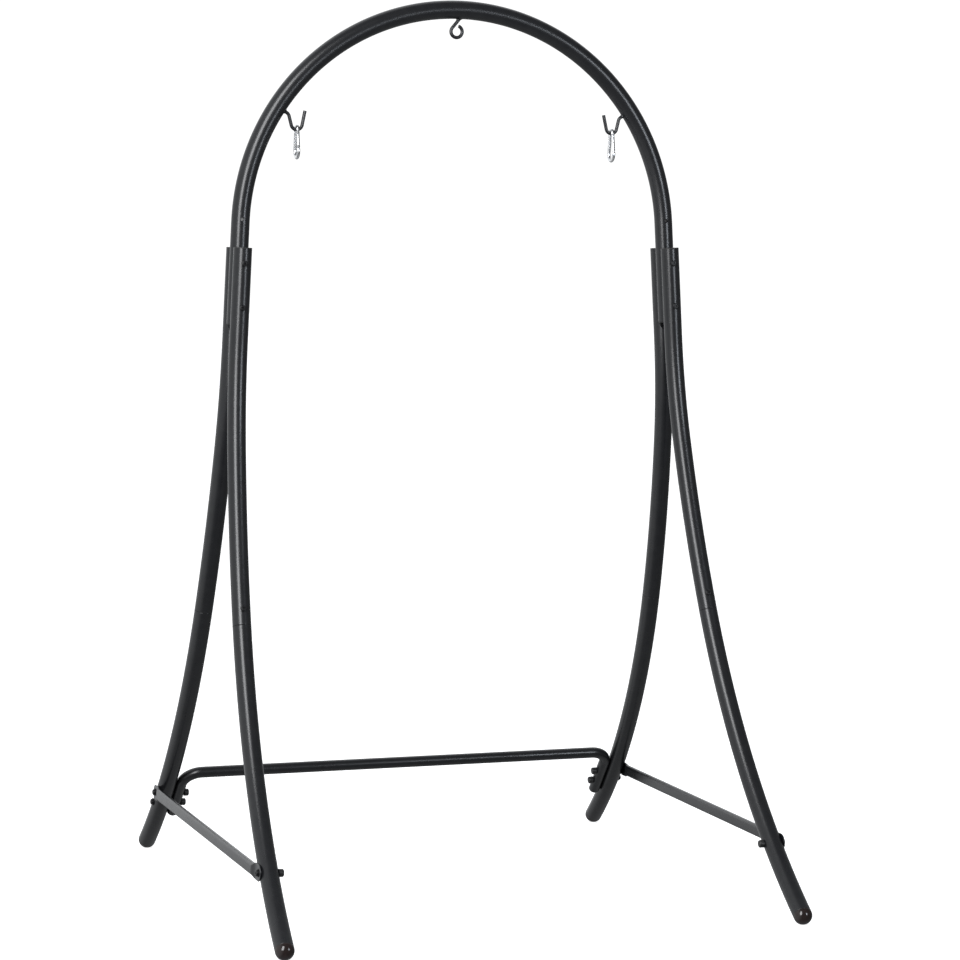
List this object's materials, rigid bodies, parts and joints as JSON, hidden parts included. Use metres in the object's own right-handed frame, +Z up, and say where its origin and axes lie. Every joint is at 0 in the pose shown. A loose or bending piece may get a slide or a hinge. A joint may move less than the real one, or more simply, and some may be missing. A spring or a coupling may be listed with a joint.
{
  "type": "hammock stand",
  "caption": "Arch-shaped tube stand for a hanging hammock chair, on splayed curved legs with a rear crossbar, side braces and hooks.",
  "frame": {"origin": "on the floor, under the middle of the arch", "axes": "+X across the stand from leg pair to leg pair, +Y to the crossbar at the rear, +Z up"},
  "size_m": [1.2306, 1.3842, 2.06],
  "materials": {
    "frame_black": "satin black powder coat on steel tube",
    "bolts_black": "black coated steel",
    "plastic_black": "moulded black plastic",
    "gloss_caps": "glossy moulded brown-black plastic",
    "bright_zinc": "bright zinc plate",
    "spring_steel": "plain steel"
  },
  "bodies": {
    "stand": {"arch_end_plugs": "plastic_black", "arch_tube": "frame_black", "brace_bolts": "bolts_black", "brace_caps": "plastic_black", "brace_nuts": "bolts_black", "brace_washers": "bolts_black", "crossbar_bolts": "bolts_black", "crossbar_caps": "plastic_black", "crossbar_end_plugs": "plastic_black", "crossbar_nuts": "bolts_black", "crossbar_washers": "bolts_black", "eye_hook": "frame_black", "foot_cap_front_left": "gloss_caps", "foot_cap_front_right": "gloss_caps", "foot_cap_rear_left": "gloss_caps", "foot_cap_rear_right": "gloss_caps", "hook_left": "frame_black", "hook_right": "frame_black", "hook_welds": "frame_black", "joint_bolts": "bolts_black", "joint_caps": "plastic_black", "joint_nuts": "bolts_black", "leg_top_plug_front_left": "plastic_black", "leg_top_plug_front_right": "plastic_black", "leg_top_plug_rear_left": "plastic_black", "leg_top_plug_rear_right": "plastic_black", "lower_leg_front_left": "frame_black", "lower_leg_front_right": "frame_black", "lower_leg_rear_left": "frame_black", "lower_leg_rear_right": "frame_black", "rear_crossbar": "frame_black", "seam_bolts": "bolts_black", "seam_weld_nuts": "bolts_black", "side_brace_left": "frame_black", "side_brace_right": "frame_black", "upper_leg_front_left": "frame_black", "upper_leg_front_right": "frame_black", "upper_leg_rear_left": "frame_black", "upper_leg_rear_right": "frame_black"},
    "snap_left": {"snap_hook_left": "bright_zinc", "gate_pin_left": "spring_steel"},
    "gate_left": {"snap_gate_left": "bright_zinc", "gate_spring_left": "spring_steel"},
    "snap_right": {"snap_hook_right": "bright_zinc", "gate_pin_right": "spring_steel"},
    "gate_right": {"snap_gate_right": "bright_zinc", "gate_spring_right": "spring_steel"}
  },
  "joints": [
    {"name": "snap_left_swing", "type": "hinge", "parent": "stand", "child": "snap_left", "pos_m": [-0.38198, 0, 1.75893], "axis": [1, 0, 0], "range_deg": [-75, 75]},
    {"name": "gate_left_open", "type": "hinge", "parent": "snap_left", "child": "gate_left", "pos_m": [-0.38198, -0.01009, 1.75166], "axis": [1, 0, 0], "range_deg": [0, 30], "stiffness_Nm_per_rad": 0.3, "springref_deg": -11.46},
    {"name": "snap_right_swing", "type": "hinge", "parent": "stand", "child": "snap_right", "pos_m": [0.38198, 0, 1.75893], "axis": [1, 0, 0], "range_deg": [-75, 75]},
    {"name": "gate_right_open", "type": "hinge", "parent": "snap_right", "child": "gate_right", "pos_m": [0.38198, -0.01009, 1.75166], "axis": [1, 0, 0], "range_deg": [0, 30], "stiffness_Nm_per_rad": 0.3, "springref_deg": -11.46}
  ]
}
